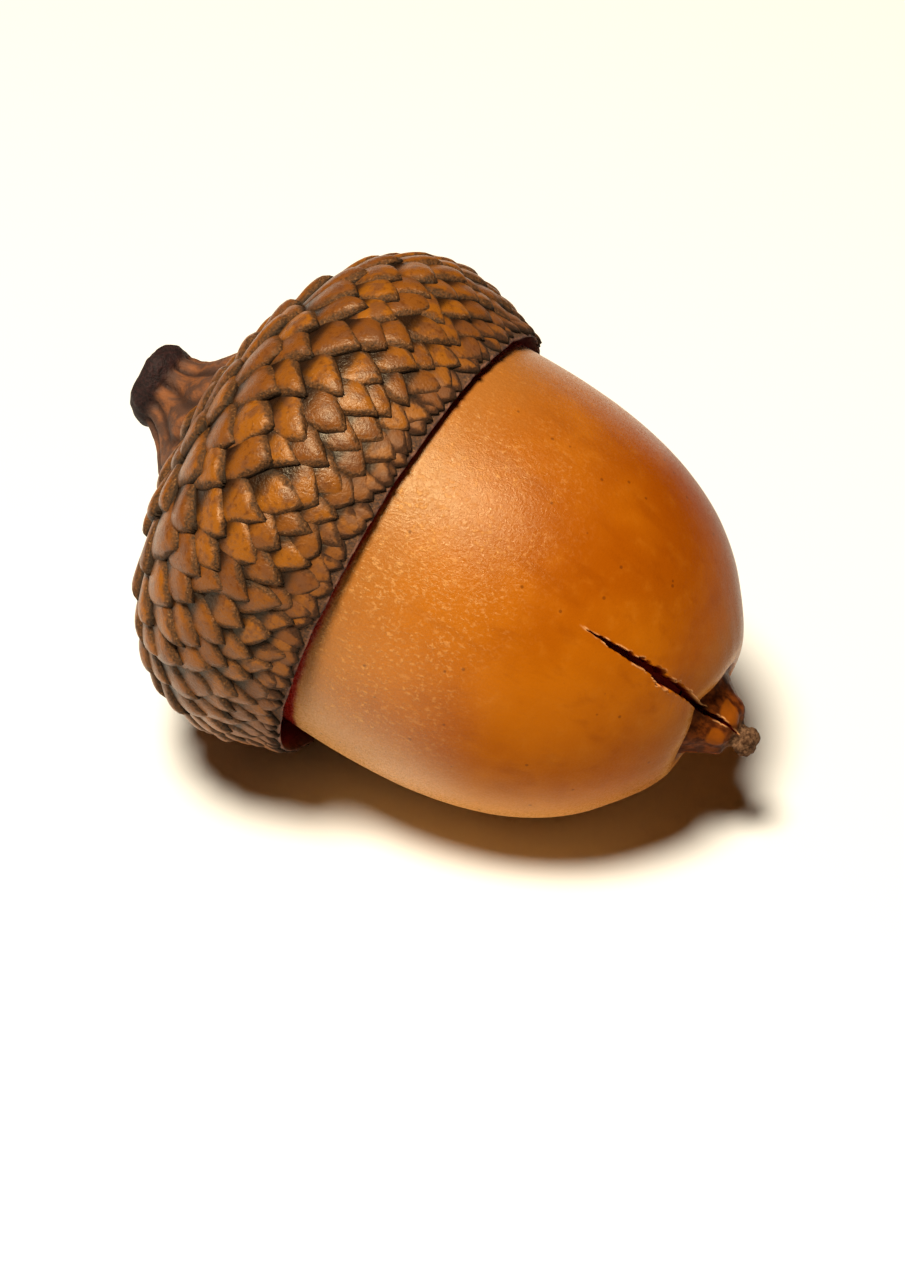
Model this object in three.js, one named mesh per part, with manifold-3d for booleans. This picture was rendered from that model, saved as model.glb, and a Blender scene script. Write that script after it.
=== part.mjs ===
// An acorn: a ripe oak nut lying loose in its scaly cup, with the stub of the stalk it hung from.
// Lengths are in millimetres. Each piece is built about the nut's own axis, +X towards the tip and
// x = 0 where the nut is widest. The whole is then tipped so that nut and cup rest on z = 0.
import * as THREE from "three";
import { mergeVertices } from "three/addons/utils/BufferGeometryUtils.js";
import Module from "manifold-3d";

// Nut: a barrel of revolution whose two ends are superellipses, a beak in front and a scar behind.
const NUT_RADIUS = 9.5;
const NUT_FRONT = 13.4; // widest ring to the front pole
const NUT_BACK = 9.6; // widest ring to the back pole
const FRONT_POWER = 2.4; // 2 is an ellipse, and a higher power has fuller shoulders
const BACK_POWER = 2.5;
const SCAR_RADIUS = 4.4; // the flat round scar where the nut sat on its cup
const BEAK_BASE = 3.1; // radius at which the front turns up into the beak
const BEAK_LENGTH = 2.55;
const BEAK_OUTLINE = [
  // [x beyond the front pole, radius]: a crease at its foot, the beak, and its withered end
  [-0.1, 2.75],
  [-0.09, 2.45],
  [-0.22, 2.1],
  [0.2, 1.72],
  [0.8, 1.36],
  [1.3, 1.06],
  [1.42, 0.76],
  [1.6, 0.58],
  [2.05, 0.68],
  [2.45, 0.45],
];

// Crack: a pointed slit down one meridian, from the shoulder onto the beak.
const CRACK_START = 8.6; // x where the slit begins
const CRACK_END = 14.6;
const CRACK_WIDTH = 0.5;
const CRACK_DEPTH = 0.75;
const CRACK_ANGLE = 40; // degrees from the top meridian towards -Y

// Cup: a bowl around the back of the nut, covered with overlapping scales.
const CUP_GAP = 0.2; // least room between nut and cup
const CUP_DROP = 0.4; // how far the loose cup hangs below the nut's axis
const CUP_LIP = 0.22; // wall thickness at the rim
const CUP_RIM = -1.2; // x of the rim
const CUP_OUTLINE = [
  // [x, radius] of the wall under the scales, from the stalk to the rim
  [-11.3, 3.3],
  [-10.5, 5.5],
  [-9.4, 8.0],
  [-8.05, 9.85],
  [-6.5, 10.8],
  [-4.95, 11.12],
  [-3.4, 10.95],
  [-2.25, 10.6],
  [CUP_RIM, NUT_RADIUS + CUP_GAP + CUP_DROP + CUP_LIP],
];

// Scales: set out along a golden-angle spiral, large on the cup's back and small at its rim.
const GOLDEN_ANGLE = Math.PI * (3 - Math.sqrt(5));
const SCALE_PITCH_BACK = 1.75; // spacing of scales beside the stalk
const SCALE_PITCH_WIDE = 2.0; // spacing where the scales are largest
const SCALE_PITCH_RIM = 0.9; // spacing at the rim
const SCALE_BARE = 0.5; // from the last scales' centres to the rim
const SCALE_WIDE_AT = 0.4; // where the scales are largest, as a share of the way to the rim
const SCALE_LENGTH = 1.7; // length over spacing
const SCALE_HALF_WIDTH = 0.62; // half width over spacing
const SCALE_RISE = 0.22; // height of a tip over spacing
const SCALE_CROWN = 0.8; // how far a scale's sides fall below its middle, over its height

// Stalk: a stub that flares into the cup and ends in a rounded break.
const STALK_GAP = 0.3;
const STALK_BEND = 0.6; // how far the free end leans up
const STALK_OUTLINE = [
  // [distance behind the cup, radius]
  [0.0, 3.35],
  [0.4, 3.1],
  [0.8, 2.65],
  [1.25, 2.2],
  [1.7, 1.9],
  [2.1, 1.84],
  [2.55, 1.93],
  [2.95, 1.85],
  [3.3, 1.45],
  [3.46, 0.85],
];

const REST_CUT = 0.16; // depth of the small flats that nut and cup rest on
const NUT_SIDES = 56;
const CUP_SIDES = 132;
const CUP_ROWS = 40;
const INNER_ROWS = 7;
const STALK_SIDES = 28;

const wasm = await Module();
wasm.setup();

// ---- geometry helpers ----

// A closed body of revolution about the X axis, from points whose x is along the axis and whose y
// is the radius. The profile runs from the back (-X) to the front (+X), so that the faces point out.
function turned(points, sides) {
  const geometry = new THREE.LatheGeometry(points.map((p) => new THREE.Vector2(p.y, p.x)), sides);
  // LatheGeometry turns about Y: carry Y to X, with angle 0 at the top and a quarter turn at -Y
  return geometry.rotateZ(-Math.PI / 2);
}

function solidOf(geometry) {
  const bare = geometry.clone();
  bare.deleteAttribute("normal");
  bare.deleteAttribute("uv");
  const merged = mergeVertices(bare, 1e-4);
  const solid = new wasm.Manifold(
    new wasm.Mesh({
      numProp: 3,
      vertProperties: merged.attributes.position.array,
      triVerts: new Uint32Array(merged.index.array),
    }),
  );
  return solid;
}

function geometryOf(solid) {
  const made = solid.getMesh();
  const geometry = new THREE.BufferGeometry();
  geometry.setAttribute("position", new THREE.BufferAttribute(made.vertProperties, 3));
  geometry.setIndex(new THREE.BufferAttribute(made.triVerts, 1));
  geometry.computeVertexNormals();
  return geometry;
}

// ---- nut ----

function superellipse(x, reach, power) {
  return NUT_RADIUS * (1 - Math.min(1, Math.abs(x) / reach) ** power) ** (1 / power);
}

// Where the superellipse has the given radius.
function reachAt(radius, reach, power) {
  return reach * (1 - (radius / NUT_RADIUS) ** power) ** (1 / power);
}

function nutRadius(x) {
  return x < 0 ? superellipse(x, NUT_BACK, BACK_POWER) : superellipse(x, NUT_FRONT, FRONT_POWER);
}

function nutProfile() {
  const scar = -reachAt(SCAR_RADIUS, NUT_BACK, BACK_POWER);
  const shoulder = reachAt(BEAK_BASE, NUT_FRONT, FRONT_POWER);
  const points = [new THREE.Vector2(scar, 0)];
  const steps = 22;
  for (let i = 0; i <= steps; i++) {
    // cosine spacing puts the points close together at the two ends, where the outline turns fastest
    const x = scar + (shoulder - scar) * (0.5 - 0.5 * Math.cos((Math.PI * i) / steps));
    points.push(new THREE.Vector2(x, nutRadius(x)));
  }
  for (const [beyond, radius] of BEAK_OUTLINE) {
    points.push(new THREE.Vector2(NUT_FRONT + beyond, radius));
  }
  points.push(new THREE.Vector2(NUT_FRONT + BEAK_LENGTH, 0));
  return points;
}

// A thin blade that follows the nut's surface, widest in its middle and pointed at its ends.
function crackBlade() {
  const steps = 12;
  const outer = [];
  const inner = [];
  for (let i = 0; i <= steps; i++) {
    const x = CRACK_START + ((CRACK_END - CRACK_START) * i) / steps;
    const radius = Math.max(nutRadius(x), 0.9);
    outer.push(new THREE.Vector2(x + 0.6, radius + 1.2));
    inner.push(new THREE.Vector2(x - 0.3, Math.max(radius - CRACK_DEPTH, 0.35)));
  }
  const shape = new THREE.Shape([...outer, ...inner.reverse()]);
  const blade = new THREE.ExtrudeGeometry(shape, { depth: 1, steps: 1, bevelEnabled: false });
  blade.translate(0, 0, -0.5);
  const place = blade.attributes.position;
  for (let i = 0; i < place.count; i++) {
    const share = (place.getX(i) - CRACK_START) / (CRACK_END - CRACK_START);
    const along = THREE.MathUtils.clamp(share, 0, 1);
    const width = CRACK_WIDTH * Math.sin(Math.PI * (0.04 + 0.92 * along)) ** 0.7;
    place.setZ(i, place.getZ(i) * width);
  }
  // the blade is drawn with its radius along Y: stand it up to +Z, then lean it over to its meridian
  blade.rotateX(Math.PI / 2 + THREE.MathUtils.degToRad(CRACK_ANGLE));
  return blade;
}

function nutGeometry() {
  return geometryOf(solidOf(turned(nutProfile(), NUT_SIDES)).subtract(solidOf(crackBlade())));
}

// ---- cup ----

const cupCurve = new THREE.SplineCurve(CUP_OUTLINE.map(([x, r]) => new THREE.Vector2(x, r)));
const cupLength = cupCurve.getLength();
const scaledLength = cupLength - SCALE_BARE;

function scalePitch(share) {
  return share < SCALE_WIDE_AT
    ? THREE.MathUtils.mapLinear(share, 0, SCALE_WIDE_AT, SCALE_PITCH_BACK, SCALE_PITCH_WIDE)
    : THREE.MathUtils.mapLinear(share, SCALE_WIDE_AT, 1, SCALE_PITCH_WIDE, SCALE_PITCH_RIM);
}

// The scales' centres. A scale takes up a cell of its spacing squared, and the next one is placed
// each time the wall has widened by a whole cell.
function scaleCentres() {
  const centres = [];
  const steps = 2000;
  let cells = 0;
  for (let i = 0; i < steps; i++) {
    const share = (i + 0.5) / steps;
    const along = share * scaledLength;
    const radius = cupCurve.getPointAt(along / cupLength).y;
    const pitch = scalePitch(share);
    const before = Math.floor(cells);
    cells += (2 * Math.PI * radius * scaledLength) / steps / pitch ** 2;
    if (Math.floor(cells) > before) {
      centres.push({ along, angle: before * GOLDEN_ANGLE, pitch });
    }
  }
  return centres;
}

const scales = scaleCentres();

// Height of the scales above the wall. Each one rises from its root to its tip, over the root of the next.
function relief(along, angle, radius) {
  let height = 0;
  for (const scale of scales) {
    const length = SCALE_LENGTH * scale.pitch;
    const s = (along - scale.along) / length + 0.5;
    if (s < 0 || s > 1) continue;
    const turn = Math.atan2(Math.sin(angle - scale.angle), Math.cos(angle - scale.angle));
    const taper = s < 0.5 ? 1 : Math.sqrt(1 - (2 * s - 1) ** 2);
    const across = Math.abs(turn * radius) / (SCALE_HALF_WIDTH * scale.pitch * taper + 1e-9);
    if (across < 1) {
      const rise = SCALE_RISE * scale.pitch * s * (1.3 - SCALE_CROWN * across ** 2);
      height = Math.max(height, rise);
    }
  }
  return height;
}

// The room that the nut needs, widened by the gap and by the cup's drop.
function innerProfile() {
  const points = [];
  const room = CUP_GAP + CUP_DROP;
  const back = NUT_BACK + CUP_GAP;
  for (let i = 0; i <= INNER_ROWS; i++) {
    const turn = (Math.PI / 2) * (i / INNER_ROWS);
    const x = CUP_RIM - (back + CUP_RIM) * Math.sin(turn);
    const share = Math.min(1, Math.abs(x) / back);
    points.push(new THREE.Vector2(x, (NUT_RADIUS + room) * (1 - share ** BACK_POWER) ** (1 / BACK_POWER)));
  }
  points[INNER_ROWS].y = 0;
  return points;
}

function cupGeometry() {
  const outer = [];
  for (let i = 0; i <= CUP_ROWS; i++) outer.push(cupCurve.getPointAt(i / CUP_ROWS));
  const start = new THREE.Vector2(outer[0].x, 0);
  const profile = [start, ...outer, ...innerProfile()];
  const cup = turned(profile, CUP_SIDES);
  const place = cup.attributes.position;
  for (let side = 0; side <= CUP_SIDES; side++) {
    for (let row = 1; row < CUP_ROWS; row++) {
      const i = side * profile.length + row + 1;
      const point = outer[row];
      const tangent = cupCurve.getTangentAt(row / CUP_ROWS);
      const angle = (2 * Math.PI * side) / CUP_SIDES;
      const height = relief((cupLength * row) / CUP_ROWS, angle, point.y);
      const radius = point.y + height * tangent.x;
      place.setXYZ(i, point.x - height * tangent.y, -radius * Math.sin(angle), radius * Math.cos(angle));
    }
  }
  cup.translate(0, 0, -CUP_DROP);
  return cup;
}

// ---- stalk ----

function stalkGeometry() {
  const face = CUP_OUTLINE[0][0] - STALK_GAP;
  const end = STALK_OUTLINE[STALK_OUTLINE.length - 1];
  const points = [new THREE.Vector2(face - end[0] - 0.1, 0)];
  for (const [back, radius] of [...STALK_OUTLINE].reverse()) {
    points.push(new THREE.Vector2(face - back, radius));
  }
  points.push(new THREE.Vector2(face, 0));
  const stalk = turned(points, STALK_SIDES);
  const place = stalk.attributes.position;
  for (let i = 0; i < place.count; i++) {
    const back = (face - place.getX(i)) / end[0];
    place.setZ(i, place.getZ(i) + STALK_BEND * back ** 2);
  }
  stalk.translate(0, 0, -CUP_DROP);
  return stalk;
}

// ---- resting pose ----

// Slope of the line that touches both the nut and the cup from below, and its height at x = 0.
function restLine(geometries) {
  const outlines = geometries.map((geometry) => {
    const place = geometry.attributes.position;
    return Array.from({ length: place.count }, (_, i) => [place.getX(i), place.getZ(i)]);
  });
  const support = (points, slope) => Math.min(...points.map(([x, z]) => z - slope * x));
  let low = 0;
  let high = 1;
  for (let i = 0; i < 40; i++) {
    const slope = (low + high) / 2;
    const [nutSide, cupSide] = outlines.map((points) => support(points, slope));
    if (cupSide > nutSide) high = slope;
    else low = slope;
  }
  return { slope: low, height: support(outlines[0], low) };
}

const geometries = { nut: nutGeometry(), cup: cupGeometry(), stalk: stalkGeometry() };
const rest = restLine([geometries.nut, geometries.cup]);
const tilt = Math.atan(rest.slope);

// Tips the acorn until that line is level, and sets it a little below z = 0.
const pose = new THREE.Matrix4()
  .makeTranslation(0, 0, -REST_CUT)
  .multiply(new THREE.Matrix4().makeRotationY(tilt))
  .multiply(new THREE.Matrix4().makeTranslation(0, 0, -rest.height));

const ground = solidOf(new THREE.BoxGeometry(60, 60, 10).translate(0, 0, -5));

// Cuts off what lies below z = 0, which leaves the small flat that the piece rests on.
function rested(geometry) {
  return geometryOf(solidOf(geometry.applyMatrix4(pose)).subtract(ground));
}

const materials = {
  nut: new THREE.MeshStandardMaterial({ color: 0xc4700f, roughness: 0.42, metalness: 0 }),
  cup: new THREE.MeshStandardMaterial({ color: 0x8a5326, roughness: 0.7, metalness: 0 }),
  stalk: new THREE.MeshStandardMaterial({ color: 0x573b30, roughness: 0.85, metalness: 0 }),
};

const acorn = new THREE.Group();
for (const name of Object.keys(geometries)) {
  const piece = new THREE.Mesh(rested(geometries[name]), materials[name]);
  piece.name = name;
  acorn.add(piece);
}

// The origin is the middle of the acorn's footprint, on the surface it rests on.
const box = new THREE.Box3().setFromObject(acorn);
acorn.position.set(-(box.min.x + box.max.x) / 2, -(box.min.y + box.max.y) / 2, 0);

export default acorn;
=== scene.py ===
"""A ripe acorn lying on white paper: an oak nut with a split shell, loose in its scaly cup.

Every piece is modelled in millimetres about the nut's own axis: x runs from the stalk to the tip and
is 0 where the nut is widest, z is up. place() tips it into the row frame, in metres.
"""

import math

import bpy
import numpy as np
from mathutils import Matrix, Vector


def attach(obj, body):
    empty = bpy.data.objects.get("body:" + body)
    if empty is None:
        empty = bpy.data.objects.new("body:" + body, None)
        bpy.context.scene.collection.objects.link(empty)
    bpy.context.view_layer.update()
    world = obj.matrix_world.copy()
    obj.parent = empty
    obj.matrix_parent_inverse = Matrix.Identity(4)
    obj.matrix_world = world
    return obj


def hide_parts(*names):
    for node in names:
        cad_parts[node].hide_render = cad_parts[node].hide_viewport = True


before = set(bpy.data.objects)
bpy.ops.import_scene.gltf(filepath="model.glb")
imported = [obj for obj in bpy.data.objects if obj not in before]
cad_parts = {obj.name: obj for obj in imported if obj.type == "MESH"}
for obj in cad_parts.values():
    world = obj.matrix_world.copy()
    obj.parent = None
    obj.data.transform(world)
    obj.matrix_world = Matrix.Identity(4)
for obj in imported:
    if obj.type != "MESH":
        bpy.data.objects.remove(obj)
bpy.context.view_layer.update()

MM = 0.001
rng = np.random.default_rng(4)

# Resting pose, as in the CAD.
TILT = 0.28394
REST_HEIGHT = -10.66
REST_CUT = 0.16
SHIFT = (-3.3226, 0.0167)

# Nut
NUT_RADIUS = 9.5
NUT_FRONT = 13.4
NUT_BACK = 9.6
FRONT_POWER = 2.4
BACK_POWER = 2.5
BEAK_END = 15.95
SCAR_RADIUS = 4.4
SHOULDER_RADIUS = 3.1
SHOULDER_LIFT = 0.26
BEAK_FROM = 12.5
BEAK_RADIUS = 2.5
BEAK_BLEND = 0.35
FOLD_RADIUS = 2.95
FOLD_HALF_WIDTH = 0.34
KNOB_START = 14.72
KNOB_BLEND = 0.23
KNOB_SAG = 0.18
KNOB_TURN = 0.06
NUT_COLUMNS = 300
NUT_PROFILE_STEP = 0.02
NUT_ROW_GAPS = [(-10, 0.34), (7.0, 0.26), (9.0, 0.09), (16, 0.065)]  # x, gap between rows
BARE_PATCHES = ((14.42, 12, 0.5, 25), (14.35, 72, 0.36, 18))  # x, angle, half length, half angle

# Heights of the shell's relief
DENTS = 0.05
FINE_DENTS = 0.012
TIP_RIDGES = 0.006
TIP_RIDGE_COUNT = 17
BARK = 0.07
BARK_RIBS = 0.05
BARK_RIB_COUNT = 7
KNOB_LUMPS = 0.2

# Crack
CRACK_ANGLE = math.radians(40)
CRACK_SPREAD = math.radians(5.0)  # half angle of the close-set columns about it
CRACK_DEPTH = 0.8
TORN_HEIGHT = 0.035
VALLEY_DEPTH = 0.28
VALLEY_HALF_WIDTH = 0.75
CRACK_WIDTH = [  # x, half width
    (8.1, 0.0),
    (8.6, 0.03),
    (9.2, 0.09),
    (10.2, 0.16),
    (11.0, 0.2),
    (11.7, 0.26),
    (12.2, 0.26),
    (12.7, 0.21),
    (13.1, 0.16),
    (13.6, 0.13),
    (14.2, 0.09),
    (14.9, 0.03),
    (15.1, 0.0),
]

# Cup: its axis lies a little below the nut's
CUP_DROP = 0.4
CUP_RIM = -1.2
RIM_INNER = 10.24
RIM_LIP = [(-1.2, 10.36), (-1.13, 10.35), (-1.09, 10.32), (-1.09, 10.28), (-1.14, 10.25)]
CUP_BACK_GAP = 0.2
CUP_COLUMNS = 240
CUP_ROW_STEP = 0.25
HOLLOW_ROWS = 24
WALL_STEP = 0.05
RIM_UNEVEN = (0.1, 0.05)  # heights of its broad and fine waves
CUP_OUTLINE = np.array(
    [
        (-11.3, 2.9),
        (-10.5, 5.4),
        (-9.4, 8.0),
        (-8.05, 9.85),
        (-6.5, 10.8),
        (-4.95, 11.12),
        (-3.4, 10.93),
        (-2.25, 10.57),
        (-1.3, 10.37),
    ]
)

# Scales: pitch is the spacing of their centres
GOLDEN_ANGLE = math.pi * (3 - math.sqrt(5))
SCALE_PITCH_BACK = 1.75
SCALE_PITCH_WIDE = 2.0
SCALE_PITCH_RIM = 0.9
SCALE_WIDE_AT = 0.4  # share of the way from stalk to rim
SCALE_BARE = 0.5  # from the spiral's last centres to the rim
RIM_SCALES = 76
RIM_SCALE_PITCH = (0.65, 0.95)
SCALE_LENGTH = 1.9  # in pitches
SCALE_HALF_WIDTH = 0.8  # in pitches
SCALE_RISE = 0.2  # height of its point, in pitches
SCALE_SWELL = 0.135  # height of its crown, in pitches
SCALE_SHIFT = (0.16, 0.18)  # most it strays along and round the cup, in pitches
SCALE_SKEW = 0.4  # most it leans, sideways over its length
SCALE_POINT = (1.25, 2.1)  # power of its outline: the higher, the blunter
RIM_SCALE_BLUNT = 0.7  # added to that at the rim
SCALE_FELT = 0.5  # width of the felted margin
SCALE_ROOT = -0.1  # height of its base, inside the wall
SCALE_ROWS = 13
SCALE_COLUMNS = 13

# Stalk
STALK_BEND = 0.75
STALK_BEND_START = -11.6
STALK_BEND_LENGTH = 3.5
STALK_KNOB = (-14.0, -13.5)  # x where the knob ends and where the neck has begun
STALK_FOLDS = 11
STALK_FOLD_HEIGHT = 0.3
STALK_COLUMNS = 120
STALK_ROW_STEP = 0.08
STALK_OUTLINE = [
    (-15.1, 0.02),
    (-15.07, 0.9),
    (-14.9, 1.5),
    (-14.5, 1.8),
    (-14.1, 1.84),
    (-13.7, 1.74),
    (-13.3, 1.92),
    (-12.9, 2.2),
    (-12.5, 2.65),
    (-12.1, 3.1),
    (-11.7, 3.5),
    (-11.2, 3.9),
    (-10.9, 4.1),
]

# Floor and light
FLOOR_HALF_SIZE = 1.5
PAPER_COLOUR = (0.75, 0.74, 0.74, 1)
KEY_TARGET = Vector((0, 0, 0.01))
KEY_DIRECTION = Vector((-0.05, -0.29, 0.955))
KEY_DISTANCE = 0.40
KEY_SIZE = 0.13
KEY_POWER = 3.35
KEY_COLOUR = (1, 0.91, 0.72)
SKY_COLOUR = (1, 0.42, 0.11, 1)
SKY_STRENGTH = 0.018

# Camera: in front, to the right and above
CAMERA_AZIMUTH = 28.49
CAMERA_ELEVATION = 39.34
CAMERA_DISTANCE = 0.130
CAMERA_TARGET = Vector((0, 0, 0.011))
CAMERA_LENS = 85.9
CAMERA_SHIFT = (0.0071, -0.0799)


# ---------------------------------------------------------------- helpers


def place(points):
    """Acorn frame in mm to row frame in metres. What would be below the ground is flattened onto it."""
    p = np.array(points, dtype=float)
    p[:, 2] -= REST_HEIGHT
    c, s = math.cos(TILT), math.sin(TILT)
    x = p[:, 0] * c + p[:, 2] * s + SHIFT[0]
    z = -p[:, 0] * s + p[:, 2] * c - REST_CUT
    return np.stack([x, p[:, 1] + SHIFT[1], np.maximum(z, 0)], axis=1) * MM


def smoothstep(a, b, x):
    """0 at a, 1 at b, whichever is larger."""
    t = np.clip((x - a) / (b - a), 0, 1)
    return t * t * (3 - 2 * t)


def hash_noise(x, seed):
    """Smooth 1-D noise in -1..1."""
    x = np.asarray(x, dtype=float)
    i = np.floor(x)
    t = x - i
    t = t * t * (3 - 2 * t)

    def value(k):
        v = np.sin(k * 127.1 + seed * 311.7) * 43758.5453
        return 2 * (v - np.floor(v)) - 1

    return value(i) * (1 - t) + value(i + 1) * t


def noise3(p, scale, seed):
    """Smooth 3-D value noise in -1..1, at points p (n, 3)."""
    q = np.asarray(p, dtype=float) * scale + seed * 17.31
    i = np.floor(q).astype(np.int64)
    t = q - i
    t = t * t * (3 - 2 * t)

    def value(dx, dy, dz):
        h = (i[:, 0] + dx) * 374761393 + (i[:, 1] + dy) * 668265263 + (i[:, 2] + dz) * 2147483647
        h = (h ^ (h >> 13)) * 1274126177
        h = h ^ (h >> 16)
        return (h & 0xFFFF) / 32767.5 - 1

    total = np.zeros(len(q))
    for dx in (0, 1):
        for dy in (0, 1):
            for dz in (0, 1):
                w = (
                    (t[:, 0] if dx else 1 - t[:, 0])
                    * (t[:, 1] if dy else 1 - t[:, 1])
                    * (t[:, 2] if dz else 1 - t[:, 2])
                )
                total += w * value(dx, dy, dz)
    return total


def fbm(p, scale, seed, octaves):
    """Layers of noise3, each twice as fine and half as strong as the last."""
    total = np.zeros(len(p))
    for k in range(octaves):
        total += noise3(p, scale * 2**k, seed + k) / 2**k
    # three layers add up to 1.75 at most
    return total / 1.75


def make_object(name, points, faces, attributes, material):
    """A smooth mesh object from local points in mm. attributes maps a name to one value per vertex."""
    mesh = bpy.data.meshes.new(name)
    mesh.from_pydata(place(points).tolist(), [], faces)
    mesh.update()
    local = mesh.attributes.new("local", "FLOAT_VECTOR", "POINT")
    local.data.foreach_set("vector", np.asarray(points, dtype=np.float32).ravel())
    for key, values in attributes.items():
        layer = mesh.attributes.new(key, "FLOAT", "POINT")
        layer.data.foreach_set("value", np.asarray(values, dtype=np.float32))
    mesh.polygons.foreach_set("use_smooth", np.ones(len(mesh.polygons), dtype=bool))
    mesh.materials.append(material)
    obj = bpy.data.objects.new(name, mesh)
    bpy.context.collection.objects.link(obj)
    return obj


def closed_faces(rows, columns):
    """Quads between rows of closed rings, and triangles from the end rows to two more points, the last two.

    Rows run along +x and columns from the top towards -y.
    """
    faces = []
    for i in range(rows - 1):
        a = i * columns
        b = a + columns
        for j in range(columns):
            k = (j + 1) % columns
            faces.append((a + j, a + k, b + k, b + j))
    last_row = (rows - 1) * columns
    back_end = rows * columns
    front_end = back_end + 1
    for j in range(columns):
        k = (j + 1) % columns
        faces.append((back_end, k, j))
        faces.append((front_end, last_row + j, last_row + k))
    return faces


def revolve(x, r, angle):
    """Grid points of a surface of revolution, row by row."""
    xx = np.repeat(x, len(angle))
    rr = np.repeat(r, len(angle))
    aa = np.tile(angle, len(x))
    return np.stack([xx, -rr * np.sin(aa), rr * np.cos(aa)], axis=1)


def resample(points, step):
    """Points about step apart along a smooth curve through the given ones, and the arc length of each."""
    p = np.asarray(points, dtype=float)
    last = len(p) - 1
    chord = np.concatenate([[0], np.cumsum(np.linalg.norm(np.diff(p, axis=0), axis=1))])
    t = np.linspace(0, chord[-1], 2000)
    k = np.clip(np.searchsorted(chord, t, side="right") - 1, 0, last - 1)
    u = ((t - chord[k]) / (chord[k + 1] - chord[k]))[:, None]
    before, after = np.maximum(k - 1, 0), np.minimum(k + 2, last)
    span = (chord[k + 1] - chord[k])[:, None]
    m0 = (p[k + 1] - p[before]) / (chord[k + 1] - chord[before])[:, None] * span
    m1 = (p[after] - p[k]) / (chord[after] - chord[k])[:, None] * span
    fine = (
        (2 * u**3 - 3 * u**2 + 1) * p[k]
        + (u**3 - 2 * u**2 + u) * m0
        + (-2 * u**3 + 3 * u**2) * p[k + 1]
        + (u**3 - u**2) * m1
    )
    length = np.concatenate([[0], np.cumsum(np.linalg.norm(np.diff(fine, axis=0), axis=1))])
    count = max(2, int(round(length[-1] / step)) + 1)
    s = np.linspace(0, length[-1], count)
    return np.stack([np.interp(s, length, fine[:, 0]), np.interp(s, length, fine[:, 1])], axis=1), s


# ---------------------------------------------------------------- materials


class Nodes:
    """Short names for building a procedural material."""

    def __init__(self, name):
        self.material = bpy.data.materials.new(name)
        self.material.use_nodes = True
        self.tree = self.material.node_tree
        self.shader = self.tree.nodes["Principled BSDF"]

    def node(self, kind, inputs=None, **settings):
        made = self.tree.nodes.new(kind)
        for key, value in settings.items():
            setattr(made, key, value)
        for key, value in (inputs or {}).items():
            self.feed(made.inputs[key], value)
        return made

    def feed(self, socket, value):
        if isinstance(value, bpy.types.NodeSocket):
            self.tree.links.new(value, socket)
        else:
            socket.default_value = value

    def attribute(self, name):
        made = self.node("ShaderNodeAttribute", attribute_name=name)
        return made.outputs["Vector"] if name == "local" else made.outputs["Fac"]

    def stretched(self, vector, scale):
        return self.node(
            "ShaderNodeMapping", {"Vector": vector, "Scale": scale}, vector_type="POINT"
        ).outputs["Vector"]

    def noise(self, vector, scale, detail=3.0, roughness=0.55, distortion=0.0):
        inputs = {"Vector": vector, "Scale": scale, "Detail": detail}
        inputs.update({"Roughness": roughness, "Distortion": distortion})
        return self.node("ShaderNodeTexNoise", inputs).outputs["Fac"]

    def cells(self, vector, scale):
        """Distance from the nearest of many scattered points."""
        return self.node("ShaderNodeTexVoronoi", {"Vector": vector, "Scale": scale}).outputs["Distance"]

    def ramp(self, value, low, high, start=0.0, end=1.0):
        """value from low..high mapped smoothly to start..end, held at both ends."""
        return self.node(
            "ShaderNodeMapRange",
            {"Value": value, "From Min": low, "From Max": high, "To Min": start, "To Max": end},
            interpolation_type="SMOOTHSTEP",
        ).outputs["Result"]

    def math(self, operation, a, b):
        made = self.node("ShaderNodeMath", operation=operation)
        self.feed(made.inputs[0], a)
        self.feed(made.inputs[1], b)
        return made.outputs[0]

    def times(self, a, b):
        return self.math("MULTIPLY", a, b)

    def plus(self, a, b):
        return self.math("ADD", a, b)

    def mix(self, factor, a, b):
        made = self.node("ShaderNodeMix", data_type="RGBA")
        self.feed(made.inputs[0], factor)
        self.feed(made.inputs[6], a)
        self.feed(made.inputs[7], b)
        return made.outputs[2]

    def bump(self, height, distance_mm, normal=None):
        inputs = {"Height": height, "Distance": distance_mm * MM, "Strength": 1.0}
        if normal is not None:
            inputs["Normal"] = normal
        return self.node("ShaderNodeBump", inputs).outputs["Normal"]

    def separate(self, vector):
        made = self.node("ShaderNodeSeparateXYZ", {"Vector": vector})
        return made.outputs


def srgb(r, g, b):
    """Linear RGBA of an 8-bit sRGB colour."""
    out = []
    for v in (r, g, b):
        v /= 255
        out.append(v / 12.92 if v <= 0.04045 else ((v + 0.055) / 1.055) ** 2.4)
    return (*out, 1.0)


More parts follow.
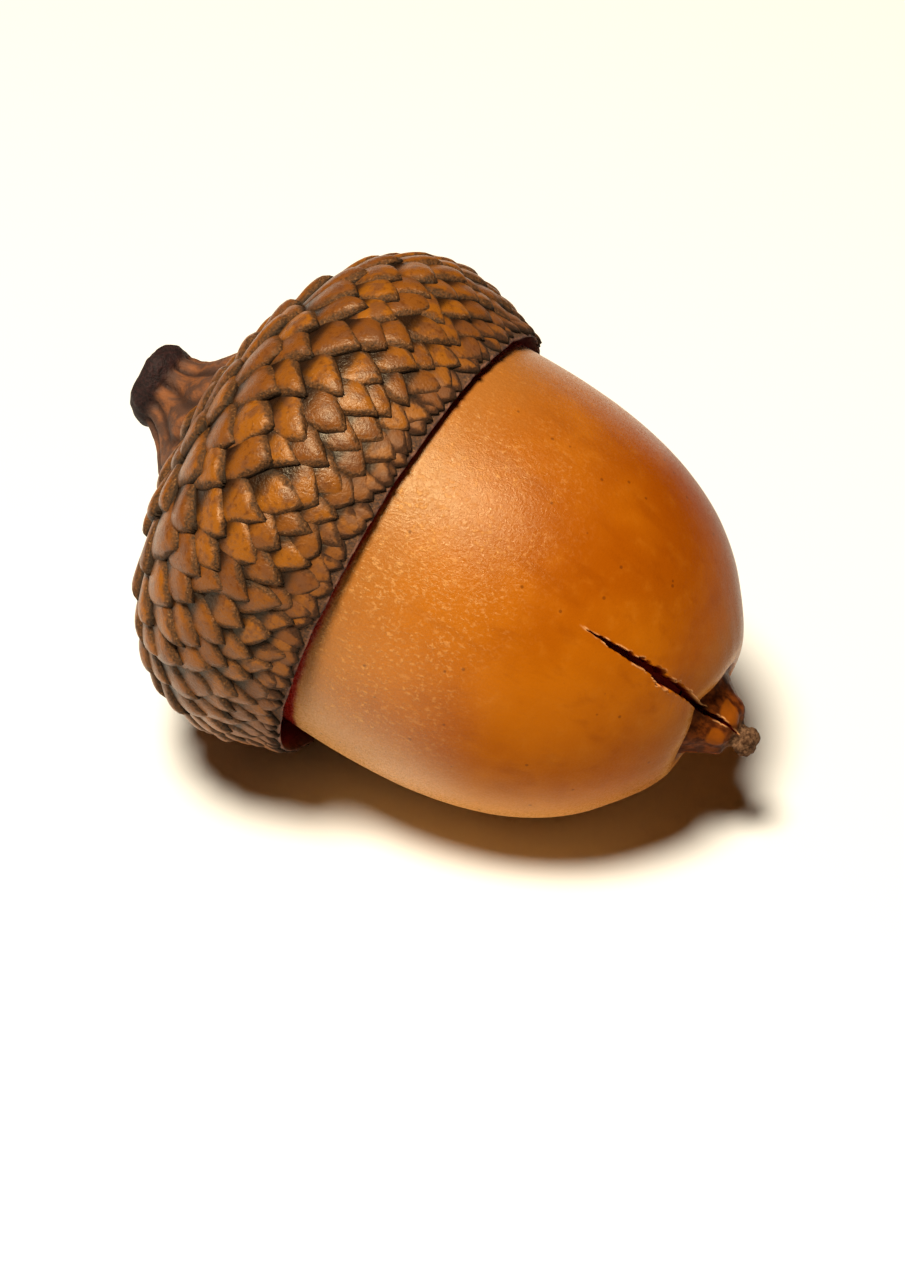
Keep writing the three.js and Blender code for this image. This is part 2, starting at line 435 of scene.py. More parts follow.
def shell_colour(n, local, bloom_and_glint):
    """Orange-brown shell: paler beside the cup, with golden bloom flecks that are partly painted glints;
    painted bounce light along the belly, painted shade underneath, on the far side and where it goes into
    the cup.
    """
    x, y, z = n.separate(local)
    broad = n.noise(local, 0.16, 3.0)
    streak = n.noise(n.stretched(local, (0.12, 1.0, 1.0)), 1.5, 4.0)
    mottle = n.noise(local, 1.3, 4.0, 0.6)
    base = n.mix(n.ramp(broad, 0.35, 0.68), srgb(144, 69, 2), srgb(164, 88, 6))
    base = n.mix(n.ramp(streak, 0.5, 0.75, 0.0, 0.3), base, srgb(122, 52, 2))
    base = n.mix(n.ramp(mottle, 0.5, 0.8, 0.0, 0.4), base, srgb(170, 98, 22))
    # paler band where the shell comes out of the cup
    base = n.mix(n.ramp(x, 0.0, 8.0, 0.2, 0.0), base, srgb(188, 124, 50))
    rim = n.ramp(n.plus(x, n.times(mottle, 3.0)), 0.2, 4.2, 1.0, 0.0)
    base = n.mix(n.times(rim, 0.6), base, srgb(156, 100, 46))
    # painted bounce light: paler along the belly, which the bright floor lights from below
    base = n.mix(n.ramp(z, 0.5, -6.5, 0.0, 0.82), base, srgb(228, 168, 100))
    # painted shade: darker on the underside, where it lies on the ground
    base = n.mix(n.ramp(z, -8.0, -9.1, 0.0, 0.85), base, srgb(84, 32, 4))
    # golden bloom flecks, partly painted glints of the highlight
    base = n.mix(n.times(bloom_and_glint, 0.7), base, srgb(204, 142, 76))
    # painted shade: a deeper, darker orange on the far (+y) side towards the tip
    shaded_side = n.times(n.ramp(y, -4.0, 5.0), n.ramp(x, 2.0, 9.0))
    base = n.mix(n.times(shaded_side, 0.6), base, srgb(126, 50, 0))
    # tan dulling near the beak
    tip = n.ramp(n.plus(x, n.times(mottle, 1.4)), 12.2, 14.4)
    base = n.mix(n.times(tip, 0.6), base, srgb(146, 92, 38))
    # painted shade: dark red where it goes into the cup, a line in the gap under the rim
    gap_shade = n.ramp(n.plus(x, n.times(mottle, 0.3)), -1.05, -0.75, 1.0, 0.0)
    base = n.mix(gap_shade, base, srgb(130, 15, 6))
    # sparse dark specks
    speck = n.ramp(n.cells(local, 0.9), 0.045, 0.085, 1.0, 0.0)
    return n.mix(n.times(speck, 0.5), base, srgb(70, 28, 8))


def beak_and_crack_colour(n, local, base):
    """The fold, the beak with its bare patches and knob, and the crack, laid over the shell's colour."""
    # pale edge of the fold round the beak's foot
    fold = n.times(n.attribute("fold"), n.ramp(n.noise(local, 2.2, 3.0), 0.3, 0.55, 0.35, 1.0))
    base = n.mix(n.times(fold, 0.5), base, srgb(190, 136, 76))
    flake = n.noise(n.stretched(local, (0.5, 1.0, 1.0)), 2.6, 4.0, 0.65)
    beak = n.mix(n.ramp(flake, 0.4, 0.62), srgb(62, 26, 8), srgb(104, 50, 16))
    base = n.mix(n.attribute("beak"), base, beak)
    knob = n.ramp(n.noise(local, 5.0, 4.0, 0.7), 0.36, 0.66)
    base = n.mix(n.attribute("knob"), base, n.mix(knob, srgb(56, 36, 24), srgb(112, 82, 60)))
    base = n.mix(n.times(n.attribute("patch"), 0.85), base, srgb(130, 66, 10))
    base = n.mix(n.attribute("lip"), base, srgb(206, 146, 92))
    return n.mix(n.ramp(n.attribute("crack"), 0.1, 0.6), base, srgb(104, 12, 5))


def nut_material():
    n = Nodes("nut_shell")
    local = n.attribute("local")
    x, y, _ = n.separate(local)
    # golden bloom with painted glints: fine broken flecks, thickest towards the cup and on the near (-y)
    # side
    fleck = n.ramp(n.noise(n.stretched(local, (0.7, 1.0, 1.0)), 6.0, 4.0, 0.7, 0.4), 0.51, 0.66)
    bloom_and_glint_area = n.times(n.ramp(x, 2.0, 7.5, 1.0, 0.0), n.ramp(y, -6.0, 2.0, 1.0, 0.25))
    bloom_and_glint_area = n.times(bloom_and_glint_area, n.ramp(n.noise(local, 0.45, 3.0), 0.3, 0.56, 0.15, 1.0))
    bloom_and_glint = n.times(fleck, bloom_and_glint_area)
    base = shell_colour(n, local, bloom_and_glint)
    n.feed(n.shader.inputs["Base Color"], beak_and_crack_colour(n, local, base))

    rough = n.ramp(n.noise(local, 9.0, 2.0, 0.7), 0.3, 0.7, 0.19, 0.36)
    rough = n.plus(rough, n.times(n.math("MAXIMUM", bloom_and_glint, n.attribute("beak")), 0.12))
    rough = n.plus(rough, n.times(n.math("MAXIMUM", n.attribute("crack"), n.attribute("knob")), 0.4))
    n.feed(n.shader.inputs["Roughness"], rough)
    # waxy towards the cup, duller towards the tip
    n.feed(n.shader.inputs["Specular IOR Level"], n.ramp(x, 2.0, 7.5, 0.46, 0.03))
    n.shader.inputs["Specular Tint"].default_value = (1.0, 0.93, 0.62, 1.0)

    grain = n.times(n.noise(local, 6.0, 4.0, 0.75), n.ramp(x, 3.0, 8.0, 1.0, 0.4))
    fine = n.bump(grain, 0.034)
    waves = n.bump(n.noise(n.stretched(local, (0.5, 1.0, 1.0)), 2.2, 3.0), 0.016, normal=fine)
    n.feed(n.shader.inputs["Normal"], n.bump(bloom_and_glint, 0.012, normal=waves))
    return n.material


def felt_colour(n, fine):
    """Brown down with a few bright hairs."""
    felt = n.mix(n.ramp(fine, 0.35, 0.65), srgb(52, 30, 12), srgb(94, 56, 24))
    return n.mix(n.ramp(fine, 0.62, 0.7, 0.0, 0.6), felt, srgb(164, 124, 82))


def scale_material():
    n = Nodes("cup_scales")
    local = n.attribute("local")
    margin = n.attribute("margin")
    tint = n.attribute("tint")
    rim = n.attribute("rim")
    fine = n.noise(local, 9.0, 3.0, 0.65)
    mottle = n.noise(local, 1.5, 3.0, 0.6)
    centre = n.mix(tint, srgb(108, 60, 20), srgb(138, 80, 16))
    centre = n.mix(n.ramp(mottle, 0.44, 0.62, 0.0, 0.75), centre, srgb(100, 60, 34))
    centre = n.mix(n.ramp(n.noise(local, 4.0, 3.0), 0.54, 0.7, 0.0, 0.6), centre, srgb(84, 40, 8))
    # painted bounce light: paler underneath, where the floor lights it
    centre = n.mix(n.ramp(n.separate(local)[2], -3.0, -8.0, 0.0, 0.45), centre, srgb(172, 114, 68))
    felt = n.mix(n.times(rim, 0.8), felt_colour(n, fine), srgb(38, 20, 12))
    blotch = n.plus(n.noise(local, 1.0, 4.0, 0.7), -0.5)
    edge = n.ramp(n.plus(margin, n.times(blotch, 1.5)), 0.28, 0.74)
    colour = n.mix(edge, centre, felt)
    colour = n.mix(n.times(rim, 0.2), colour, srgb(70, 30, 10))
    # painted shade: near black where each scale goes under its neighbours, and on its sides
    crevice_shade = n.attribute("crevice_shade")
    colour = n.mix(n.times(crevice_shade, 0.95), colour, srgb(20, 10, 6))
    # painted shade: a thin dark line round the free edge of each scale and down its sides
    colour = n.mix(n.ramp(margin, 0.8, 0.97, 0.0, 0.88), colour, srgb(28, 14, 6))
    n.feed(n.shader.inputs["Base Color"], colour)
    rough = n.plus(n.ramp(fine, 0.3, 0.7, 0.26, 0.4), n.times(edge, 0.3))
    rough = n.plus(rough, n.times(rim, 0.25))
    n.feed(n.shader.inputs["Roughness"], rough)
    n.shader.inputs["Specular IOR Level"].default_value = 0.34
    n.shader.inputs["Specular Tint"].default_value = (1.0, 0.86, 0.64, 1.0)
    downy = n.bump(n.times(fine, n.ramp(edge, 0.0, 1.0, 0.35, 1.0)), 0.085)
    n.feed(n.shader.inputs["Normal"], n.bump(n.noise(local, 2.2, 2.0), 0.045, normal=downy))
    return n.material


def wall_material():
    n = Nodes("cup_wall")
    local = n.attribute("local")
    fine = n.noise(local, 9.0, 3.0, 0.65)
    hollow = n.attribute("hollow")
    lip = n.attribute("lip")
    felt = felt_colour(n, fine)
    edge = n.mix(n.ramp(n.noise(local, 3.0, 3.0), 0.4, 0.6), srgb(62, 34, 24), srgb(118, 76, 58))
    colour = n.mix(lip, felt, edge)
    n.feed(n.shader.inputs["Base Color"], n.mix(hollow, colour, srgb(130, 18, 8)))
    n.shader.inputs["Roughness"].default_value = 0.85
    n.feed(n.shader.inputs["Normal"], n.bump(fine, 0.07))
    return n.material


def stalk_material():
    n = Nodes("stalk_wood")
    local = n.attribute("local")
    knob = n.attribute("knob")
    ridge = n.attribute("ridge")
    fine = n.noise(local, 6.0, 3.0, 0.6)
    mottle = n.noise(n.stretched(local, (0.3, 1.0, 1.0)), 1.6, 4.0)
    neck = n.mix(n.ramp(mottle, 0.42, 0.66), srgb(78, 50, 36), srgb(122, 72, 38))
    # painted shade: darker in the grooves between the neck's folds
    neck = n.mix(n.times(n.ramp(ridge, 0.3, 0.9), 0.75), neck, srgb(40, 22, 14))
    end = n.mix(n.ramp(fine, 0.35, 0.7), srgb(22, 8, 8), srgb(44, 19, 18))
    n.feed(n.shader.inputs["Base Color"], n.mix(knob, neck, end))
    n.shader.inputs["Roughness"].default_value = 0.7
    n.shader.inputs["Specular IOR Level"].default_value = 0.25
    n.feed(n.shader.inputs["Normal"], n.bump(fine, 0.08))
    return n.material


def floor_material():
    n = Nodes("paper")
    n.shader.inputs["Base Color"].default_value = PAPER_COLOUR
    n.shader.inputs["Roughness"].default_value = 0.9
    return n.material


# ---------------------------------------------------------------- nut


def nut_outline():
    """Fine profile of the nut from the centre of its scar to the end of its beak: columns x, radius."""

    def ellipse(x, reach, power):
        return NUT_RADIUS * (1 - np.minimum(1, np.abs(x) / reach) ** power) ** (1 / power)

    scar = NUT_BACK * (1 - (SCAR_RADIUS / NUT_RADIUS) ** BACK_POWER) ** (1 / BACK_POWER)
    shoulder = NUT_FRONT * (1 - (SHOULDER_RADIUS / NUT_RADIUS) ** FRONT_POWER) ** (1 / FRONT_POWER)
    turn = np.linspace(0, 1, 70)
    x_back = -scar * np.cos(turn * math.pi / 2)
    x_front = shoulder * np.sin(np.linspace(0, 1, 120) * math.pi / 2)
    body = np.concatenate(
        [
            np.stack([x_back, ellipse(x_back, NUT_BACK, BACK_POWER)], axis=1),
            np.stack([x_front[1:], ellipse(x_front[1:], NUT_FRONT, FRONT_POWER)], axis=1),
        ]
    )
    # the shoulder stands a little proud of the ellipse
    body[:, 0] += SHOULDER_LIFT * smoothstep(5.6, 3.2, body[:, 1]) * (body[:, 0] > 0)
    # a crease round the foot of the beak, then the beak and its withered end
    beak = [
        (13.33, 2.78),
        (13.34, 2.5),
        (13.24, 2.26),
        (13.16, 2.08),
        (13.3, 1.94),
        (13.6, 1.72),
        (13.9, 1.52),
        (14.2, 1.36),
        (14.5, 1.22),
        (14.72, 1.04),
        (14.82, 0.76),
        (14.95, 0.56),
        (15.15, 0.55),
        (15.42, 0.66),
        (15.7, 0.6),
        (15.9, 0.36),
        (BEAK_END, 0.02),
    ]
    start = [(-scar + 0.12, 0.02), (-scar + 0.1, 2.2), (-scar + 0.02, 4.0)]
    return np.concatenate([start, body, beak])


def nut_rows():
    """x and radius of the shell's rows, which are closest together at the beak."""
    outline, s = resample(nut_outline(), NUT_PROFILE_STEP)
    gap_x, gap = zip(*NUT_ROW_GAPS)
    density = 1 / np.interp(outline[:, 0], gap_x, gap)
    row_at = np.concatenate([[0], np.cumsum(0.5 * (density[1:] + density[:-1]) * np.diff(s))])
    pick = np.interp(np.linspace(0, row_at[-1], int(row_at[-1])), row_at, s)
    return np.interp(pick, s, outline[:, 0]), np.interp(pick, s, outline[:, 1])


def nut_angles():
    """Angles of the shell's columns, close together about the crack."""
    fine = np.linspace(0, 2 * math.pi, 4001)
    weight = 1 + 11 * np.exp(-(((fine - CRACK_ANGLE) / CRACK_SPREAD) ** 2))
    column_at = np.concatenate([[0], np.cumsum(0.5 * (weight[1:] + weight[:-1]) * np.diff(fine))])
    return np.interp(np.arange(NUT_COLUMNS) * column_at[-1] / NUT_COLUMNS, column_at, fine)


def shell_relief(smooth, rr, aa, on_beak, on_knob):
    """Height of the shell's unevenness, the ridges that gather at its tip, and the beak's bark and knob."""
    xx = smooth[:, 0]
    dent = DENTS * fbm(smooth, 0.16, 3, 2) + FINE_DENTS * fbm(smooth, 0.9, 5, 2)
    ridge = TIP_RIDGES * smoothstep(9, 13, xx) * smoothstep(2.6, 4.0, rr)
    ridge = ridge * np.sin(aa * TIP_RIDGE_COUNT + 2 * np.sin(aa * 3))
    bark = BARK * fbm(smooth, 1.6, 8, 3) + BARK_RIBS * np.sin(aa * BARK_RIB_COUNT + xx * 1.2)
    bark = on_beak * bark * np.minimum(1, rr / 0.8)
    lump = on_knob * KNOB_LUMPS * fbm(smooth, 2.4, 11, 3) * np.minimum(1, rr / 0.3)
    return dent * (1 - on_beak) * np.minimum(1, rr / 2) + ridge + bark * (1 - on_knob) + lump


def crack_shape(xx, rr, aa, on_knob):
    """Height of the crack, where its inside is, and where its pale torn edge is."""
    wander = 0.05 * hash_noise(xx * 1.1, 1) + 0.035 * hash_noise(xx * 3.3, 2)
    wander = wander + 0.03 * hash_noise(xx * 9, 3)
    across = (np.mod(aa - CRACK_ANGLE + math.pi, 2 * math.pi) - math.pi) * rr
    across = across - wander * np.minimum(1, rr / 3)
    half = np.interp(xx, [c[0] for c in CRACK_WIDTH], [c[1] for c in CRACK_WIDTH])
    side = np.where(across > 0, 5, 9)
    ragged = 1 + 0.26 * hash_noise(xx * 5.2, side) + 0.32 * hash_noise(xx * 11, side + 1)
    edge = half * ragged + 1e-4
    inside = (1 - smoothstep(0.72, 1.08, np.abs(across) / edge)) * (half > 0.008)
    depth = CRACK_DEPTH * np.minimum(1, half / 0.1) * np.minimum(1, rr / 2.2)
    torn = np.exp(-(((np.abs(across) - edge - 0.03) / 0.03) ** 2)) * (half > 0.004)
    torn *= np.clip(0.3 + 1.6 * hash_noise(xx * 4.5, side + 3), 0, 1)
    # the shell dips where the crack meets the beak
    valley = np.exp(-((across / VALLEY_HALF_WIDTH) ** 2))
    valley = valley * smoothstep(11.6, 12.9, xx) * (1 - smoothstep(13.2, 14.2, xx))
    # the hairline scratch that runs on ahead of it
    hair = np.exp(-((across / 0.03) ** 2)) * smoothstep(7.9, 8.3, xx) * (1 - smoothstep(8.5, 8.9, xx))
    height = TORN_HEIGHT * torn * (1 - on_knob) - VALLEY_DEPTH * valley - inside * depth
    return height, inside, np.clip(torn + hair, 0, 1) * (1 - inside)


def raised(x, r, angle, height):
    """Points of a surface of revolution moved outwards, square to its profile, by height."""
    tangent = np.gradient(np.stack([x, r], axis=1), axis=0)
    tangent /= np.linalg.norm(tangent, axis=1)[:, None] + 1e-9
    columns = len(angle)
    aa = np.tile(angle, len(x))
    xx = np.repeat(x, columns) - height * np.repeat(tangent[:, 1], columns)
    rr = np.maximum(np.repeat(r, columns) + height * np.repeat(tangent[:, 0], columns), 0.004)
    return np.stack([xx, -rr * np.sin(aa), rr * np.cos(aa)], axis=1)


def bare_patches(points, xx, aa):
    """1 on the bare orange patches of the beak."""
    patch = np.zeros(len(points))
    for centre_x, centre_angle, half_length, half_angle in BARE_PATCHES:
        off = (aa - math.radians(centre_angle)) / math.radians(half_angle)
        reach = np.abs((xx - centre_x) / half_length) ** 3 + np.abs(off) ** 3
        reach += 0.9 * fbm(points, 1.7, 21, 3)
        patch = np.maximum(patch, smoothstep(1.1, 0.5, reach))
    return patch


def build_nut(material):
    x, r = nut_rows()
    angle = nut_angles()
    smooth = revolve(x, r, angle)
    xx = smooth[:, 0]
    rr = np.repeat(r, NUT_COLUMNS)
    aa = np.tile(angle, len(x))
    on_beak = smoothstep(0, 1, (BEAK_RADIUS - rr) / BEAK_BLEND) * (xx > BEAK_FROM)
    on_knob = smoothstep(KNOB_START, KNOB_START + KNOB_BLEND, xx)
    crack, inside, torn = crack_shape(xx, rr, aa, on_knob)
    relief = shell_relief(smooth, rr, aa, on_beak, on_knob)
    points = raised(x, r, angle, relief + crack)
    # the withered end leans a little down
    lean = smoothstep(14.2, 15.9, points[:, 0])
    points[:, 2] -= KNOB_SAG * lean
    points[:, 1] -= KNOB_TURN * lean

    fold_radius = FOLD_RADIUS + 0.4 * fbm(points, 0.5, 51, 2)
    fold = np.exp(-(((rr - fold_radius) / FOLD_HALF_WIDTH) ** 2)) * (xx > 12) * (1 - on_beak)
    layers = {
        "crack": inside,
        "lip": torn,
        "beak": on_beak,
        "fold": fold,
        "knob": on_knob,
        "patch": bare_patches(points, xx, aa),
    }
    # each layer also has a value for the point at either end
    attributes = {key: np.append(values, [values[0], values[-1]]) for key, values in layers.items()}
    ends = np.array([[x[0], 0, 0], [x[-1] + 0.01, -KNOB_TURN, -KNOB_SAG]])
    points = np.concatenate([points, ends])
    return make_object("nut_shell", points, closed_faces(len(x), NUT_COLUMNS), attributes, material)


# ---------------------------------------------------------------- cup

wall, wall_s = resample(CUP_OUTLINE, WALL_STEP)
wall_length = wall_s[-1]
wall_tangent = np.gradient(wall, axis=0)
wall_tangent /= np.linalg.norm(wall_tangent, axis=1)[:, None]


def on_wall(along):
    """Point and tangent of the cup's outer wall at arc lengths along, straight on past both ends."""
    along = np.asarray(along, dtype=float)
    inside = np.clip(along, 0, wall_length)
    x = np.interp(inside, wall_s, wall[:, 0])
    r = np.interp(inside, wall_s, wall[:, 1])
    tx = np.interp(inside, wall_s, wall_tangent[:, 0])
    tr = np.interp(inside, wall_s, wall_tangent[:, 1])
    size = np.hypot(tx, tr)
    tx, tr = tx / size, tr / size
    extra = along - inside
    return x + extra * tx, r + extra * tr, tx, tr


def scale_pitch(share):
    """Spacing of the scales a share of the way from the stalk to the rim."""
    if share < SCALE_WIDE_AT:
        return SCALE_PITCH_BACK + (SCALE_PITCH_WIDE - SCALE_PITCH_BACK) * share / SCALE_WIDE_AT
    t = (share - SCALE_WIDE_AT) / (1 - SCALE_WIDE_AT)
    return SCALE_PITCH_WIDE + (SCALE_PITCH_RIM - SCALE_PITCH_WIDE) * t


def scale_centres():
    """Place, turn, pitch and share of each scale: a golden-angle spiral, then one more row at the rim."""
    centres = []
    steps = 2000
    cells = 0.0
    reach = wall_length - SCALE_BARE
    for i in range(steps):
        share = (i + 0.5) / steps
        pitch = scale_pitch(share)
        radius = on_wall(share * reach)[1]
        before = math.floor(cells)
        cells += 2 * math.pi * radius * reach / steps / pitch**2
        if math.floor(cells) > before:
            centres.append((share * reach, before * GOLDEN_ANGLE, pitch, share))
    for i in range(RIM_SCALES):
        centres.append((wall_length, 2 * math.pi * i / RIM_SCALES, rng.uniform(*RIM_SCALE_PITCH), 1.0))
    return centres


def scale_faces():
    """Faces of one closed scale, and the border vertices of its top in order round it."""
    index = np.arange(SCALE_ROWS * SCALE_COLUMNS).reshape(SCALE_ROWS, SCALE_COLUMNS)
    ring = np.concatenate([index[0, :-1], index[:-1, -1], index[-1, :0:-1], index[:0:-1, 0]])
    faces = []
    for i in range(SCALE_ROWS - 1):
        for j in range(SCALE_COLUMNS - 1):
            faces.append((index[i, j], index[i, j + 1], index[i + 1, j + 1], index[i + 1, j]))
    foot = index.size
    centre = foot + len(ring)
    for k in range(len(ring)):
        m = (k + 1) % len(ring)
        faces.append((ring[m], ring[k], foot + k, foot + m))
        faces.append((foot + m, foot + k, centre))
    return faces, ring


def scale_outline(vv, point_power):
    """Half width of a scale, as a share of its widest, from its base at 0 to its point at 1."""
    t = np.clip((vv - 0.4) / 0.6, 0, 1)
    base = 0.6 + 0.4 * np.sin(vv / 0.4 * math.pi / 2)
    return np.maximum(np.where(vv < 0.4, base, (1 - t**point_power) ** 0.9), 0.07)


def scale_height(uu, vv, border, pitch, share, rise, swell, seed):
    """Height of a scale's top: it rises to its point, is crowned, and thins at its edges."""
    crown = (1 - np.abs(uu) ** 2.2) * np.sin(math.pi * vv**2.3) ** 0.8
    height = rise * (0.1 + 0.95 * vv**1.2) + swell * crown
    height += 0.014 * pitch * hash_noise(uu * 1.6 + vv * 2, seed + 2)
    height -= 0.05 * pitch * smoothstep(0.6, 1.0, np.abs(uu)) * (1 - 0.4 * vv)
    height -= 0.09 * border**2 * smoothstep(0.35, 0.55, vv) * min(1, pitch / 1.6)
    return height * (1 - 0.15 * float(smoothstep(0.8, 1.0, share)))


def on_cup(along, turn, side, up, height):
    """Points that lie side and up from a place on the cup's wall, and height above it."""
    x, r, tx, tr = on_wall(along + up)
    angle = turn + side / np.maximum(r, 0.6)
    px = x - height * tr
    pr = r + height * tx
    return np.stack([px, -pr * np.sin(angle), pr * np.cos(angle) - CUP_DROP], axis=1)


def vary(amount):
    """A random factor, from 1 - amount to 1 + amount."""
    return 1 + amount * rng.uniform(-1, 1)


def build_scale(ring, along, turn, pitch, share):
    """Points and attributes of one scale: a crowned top, a side that goes down to the wall, and a base."""
    length = SCALE_LENGTH * pitch * vary(0.14)
    half_width = SCALE_HALF_WIDTH * pitch * vary(0.18)
    skew = rng.uniform(-SCALE_SKEW, SCALE_SKEW)
    point_power = rng.uniform(*SCALE_POINT) + RIM_SCALE_BLUNT * float(smoothstep(0.85, 1.0, share))
    rise = SCALE_RISE * pitch * vary(0.15)
    swell = SCALE_SWELL * pitch * vary(0.3)
    seed = rng.uniform(0, 1000)
    along += SCALE_SHIFT[0] * pitch * rng.uniform(-1, 1)
    turn += SCALE_SHIFT[1] * pitch * rng.uniform(-1, 1) / max(on_wall(along)[1], 1)
    # the last ones end at the rim
    along = min(along, wall_length + rng.uniform(0.0, 0.24) - 0.5 * length)
    tint = rng.uniform(0, 1)

    # u runs across the scale and v from its base to its point
    u = np.linspace(-1, 1, SCALE_COLUMNS)
    uu = np.tile(np.sign(u) * np.abs(u) ** 0.7, SCALE_ROWS)
    vv = np.repeat(np.linspace(0, 1, SCALE_ROWS) ** 0.75, SCALE_COLUMNS)
    outline = scale_outline(vv, point_power)
    side = uu * outline * half_width * (1 + 0.05 * hash_noise(vv * 8 + uu * 0.5, seed))
    side = side + skew * (vv - 0.5) * length
    up = (vv - 0.5) * length + 0.04 * hash_noise(uu * 3, seed + 1) * pitch * vv
    # 1 at the edge of the free end, falling to 0 at the felt's inner edge
    inset = np.minimum((1 - np.abs(uu)) * outline * half_width * 0.85, (1 - vv) * length)
    border = np.clip(1 - inset / SCALE_FELT, 0, 1)
    height = scale_height(uu, vv, border, pitch, share, rise, swell, seed)

    side = np.concatenate([side, side[ring] * 0.96, [0.0]])
    up = np.concatenate([up, up[ring] - 0.03 * pitch, [0.0]])
    height = np.concatenate([height, np.full(len(ring) + 1, SCALE_ROOT)])
    below = np.ones(len(ring) + 1)
    attributes = {
        "margin": np.concatenate([border, below]),
        # 1 where the scale goes under its neighbours and on its sides, for painted shade
        "crevice_shade": np.concatenate([1 - smoothstep(0.3, 0.5, vv), below]),
        "tint": np.full(len(side), tint),
        "rim": np.full(len(side), float(smoothstep(0.86, 1.0, share))),
    }
    return on_cup(along, turn, side, up, height), attributes


def build_scales(material):
    one, ring = scale_faces()
    scales = [build_scale(ring, *centre) for centre in scale_centres()]
    count = len(scales[0][0])
    faces = [tuple(int(i) + k * count for i in face) for k in range(len(scales)) for face in one]
    points = np.concatenate([scale[0] for scale in scales])
    attributes = {key: np.concatenate([scale[1][key] for scale in scales]) for key in scales[0][1]}
    return make_object("cup_scales", points, faces, attributes, material)


def build_wall(material):
    """The wall under the scales, and the hollow that the nut lies in."""
    outer = [(-11.35, 0.05), (-11.32, 1.4)] + [tuple(p) for p in CUP_OUTLINE]
    outer, _ = resample(outer, CUP_ROW_STEP)
    turn = np.linspace(0, math.pi / 2, HOLLOW_ROWS)[1:]
    back = NUT_BACK + CUP_BACK_GAP
    inner_x = CUP_RIM - (back + CUP_RIM) * np.sin(turn)
    bulge = (1 - np.minimum(1, np.abs(inner_x) / back) ** BACK_POWER) ** (1 / BACK_POWER)
    inner = np.stack([inner_x, np.maximum(RIM_INNER * bulge, 0.05)], axis=1)
    profile = np.concatenate([outer, RIM_LIP, inner])
    angle = np.linspace(0, 2 * math.pi, CUP_COLUMNS, endpoint=False)
    points = revolve(profile[:, 0], profile[:, 1], angle)
    # the rim is uneven
    at_rim = np.exp(-(((points[:, 0] - CUP_RIM) / 0.3) ** 2))
    broad, fine = RIM_UNEVEN
    points[:, 0] += at_rim * (broad * fbm(points, 1.1, 31, 3) + fine * fbm(points, 4.0, 32, 2))
    points[:, 2] -= CUP_DROP
    ends = [[profile[0, 0], 0, -CUP_DROP], [profile[-1, 0], 0, -CUP_DROP]]
    points = np.concatenate([points, ends])
    row = np.arange(len(profile)) - len(outer)
    hollow = np.repeat((row >= len(RIM_LIP)).astype(float), CUP_COLUMNS)
    lip_edge = np.repeat(((row >= 1) & (row < len(RIM_LIP))).astype(float), CUP_COLUMNS)
    attributes = {"hollow": np.append(hollow, [0, 1]), "lip": np.append(lip_edge, [0, 0])}
    return make_object("cup_wall", points, closed_faces(len(profile), CUP_COLUMNS), attributes, material)


# ---------------------------------------------------------------- stalk


def build_stalk(material):
    outline, _ = resample(STALK_OUTLINE, STALK_ROW_STEP)
    angle = np.linspace(0, 2 * math.pi, STALK_COLUMNS, endpoint=False)
    points = revolve(outline[:, 0], outline[:, 1], angle)
    rr = np.repeat(outline[:, 1], STALK_COLUMNS)
    aa = np.tile(angle, len(outline))
    xx = points[:, 0]
    on_knob = 1 - smoothstep(*STALK_KNOB, xx)
    # lengthwise folds on the neck, and lumps all over
    ridge = np.abs(np.sin(aa * STALK_FOLDS / 2 + 0.7 * hash_noise(xx, 41)))
    height = (1 - on_knob) * (STALK_FOLD_HEIGHT * ridge - 0.2)
    height = height + 0.16 * fbm(points, 0.9, 43, 3) + 0.05 * fbm(points, 3, 44, 2)
    new_r = rr + height * np.minimum(1, rr / 0.6)
    new_x = xx + 0.15 * on_knob * fbm(points, 1.1, 45, 3)
    points = np.stack([new_x, -new_r * np.sin(aa), new_r * np.cos(aa) - CUP_DROP], axis=1)
    # it bends up away from the cup
    behind = np.clip((STALK_BEND_START - xx) / STALK_BEND_LENGTH, 0, 1)
    points[:, 2] += STALK_BEND * behind**2
    ends = [[outline[0, 0], 0, STALK_BEND - CUP_DROP], [outline[-1, 0], 0, -CUP_DROP]]
    points = np.concatenate([points, ends])
    # the ridge attribute is 1 in the grooves between the folds, for the painted shade there
    attributes = {"knob": np.append(on_knob, [1, 0]), "ridge": np.append(1 - ridge, [0, 0])}
    faces = closed_faces(len(outline), STALK_COLUMNS)
    return make_object("stalk_wood", points, faces, attributes, material)


# ---------------------------------------------------------------- the acorn

nut = build_nut(nut_material())
cup_scales = build_scales(scale_material())
cup_wall = build_wall(wall_material())
stalk = build_stalk(stalk_material())

for piece, node, slot in (
    (nut, "nut", "nut_shell"),
    (cup_scales, "cup", "cup_scales"),
    (cup_wall, "cup", "cup_scales"),
    (stalk, "stalk", "stalk_wood"),
):
    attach(piece, "root")
    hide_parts(node)


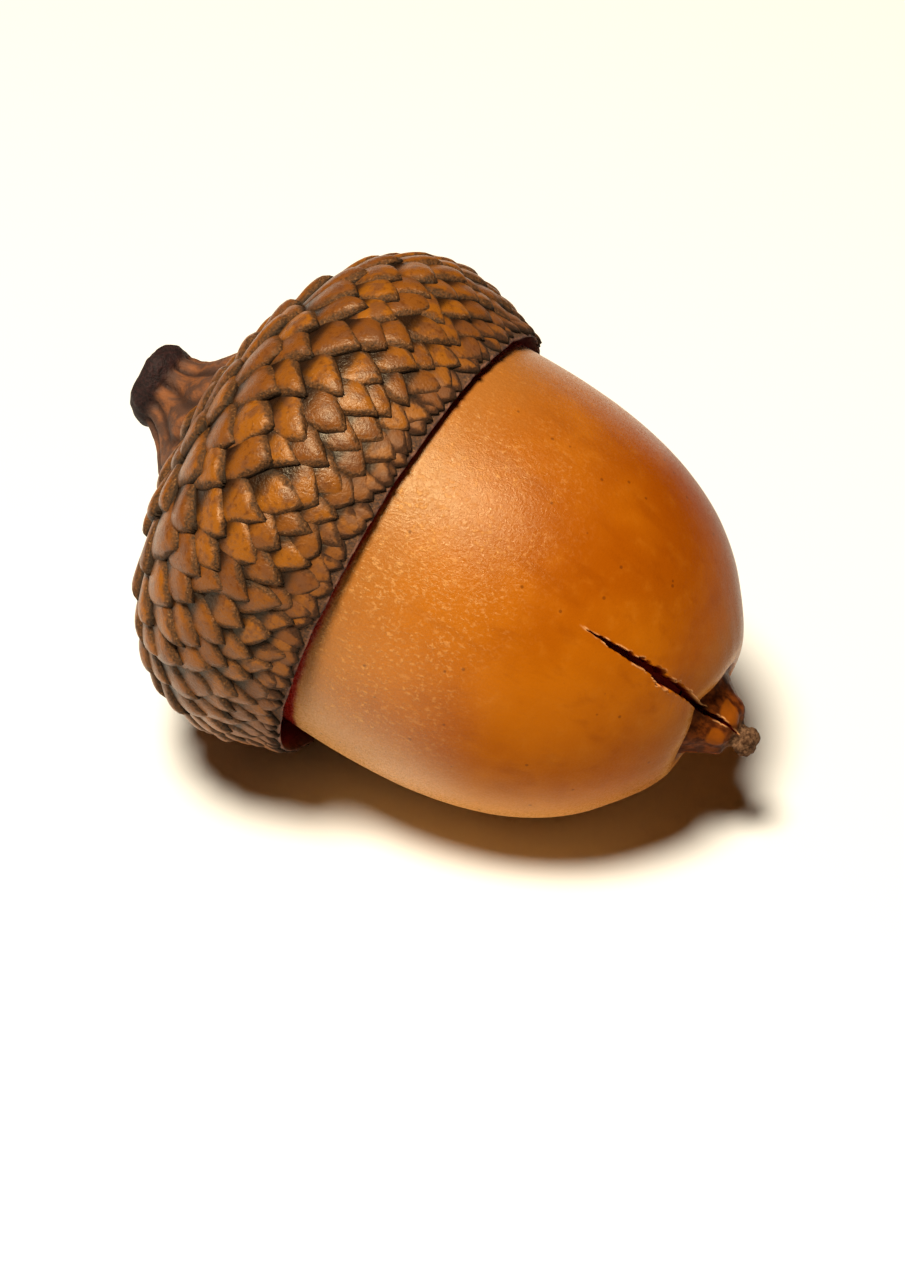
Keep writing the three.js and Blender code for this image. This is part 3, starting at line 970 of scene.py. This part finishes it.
# ---------------------------------------------------------------- stage


def add_floor():
    size = FLOOR_HALF_SIZE
    corners = [(-size, -size, 0), (size, -size, 0), (size, size, 0), (-size, size, 0)]
    mesh = bpy.data.meshes.new("floor")
    mesh.from_pydata(corners, [], [(0, 1, 2, 3)])
    mesh.materials.append(floor_material())
    floor = bpy.data.objects.new("floor", mesh)
    bpy.context.collection.objects.link(floor)


def add_key_light():
    data = bpy.data.lights.new("key", "AREA")
    data.shape = "DISK"
    data.size = KEY_SIZE
    data.energy = KEY_POWER
    data.color = KEY_COLOUR
    light = bpy.data.objects.new("key", data)
    towards = KEY_DIRECTION.normalized()
    light.location = KEY_TARGET + KEY_DISTANCE * towards
    light.rotation_euler = towards.to_track_quat("Z", "Y").to_euler()
    bpy.context.collection.objects.link(light)


def add_sky():
    world = bpy.data.worlds.new("world")
    bpy.context.scene.world = world
    world.use_nodes = True
    background = world.node_tree.nodes["Background"]
    background.inputs["Color"].default_value = SKY_COLOUR
    background.inputs["Strength"].default_value = SKY_STRENGTH


def camera_axes():
    """Unit vectors from the target back to the camera, to its right and to its top."""
    azimuth, elevation = math.radians(CAMERA_AZIMUTH), math.radians(CAMERA_ELEVATION)
    level = math.cos(elevation)
    back = Vector((math.sin(azimuth) * level, -math.cos(azimuth) * level, math.sin(elevation)))
    right = Vector((math.cos(azimuth), math.sin(azimuth), 0))
    return back, right, back.cross(right)


def add_camera():
    back, right, up = camera_axes()
    data = bpy.data.cameras.new("camera")
    data.lens = CAMERA_LENS
    data.sensor_width = 36
    data.sensor_fit = "AUTO"
    data.shift_x, data.shift_y = CAMERA_SHIFT
    data.clip_start = 0.01
    camera = bpy.data.objects.new("camera", data)
    turn = Matrix((right, up, back)).transposed()
    camera.matrix_world = Matrix.Translation(CAMERA_TARGET + CAMERA_DISTANCE * back) @ turn.to_4x4()
    bpy.context.collection.objects.link(camera)
    bpy.context.scene.camera = camera


add_floor()
add_camera()
add_key_light()
add_sky()
bpy.context.scene.view_settings.view_transform = "Standard"
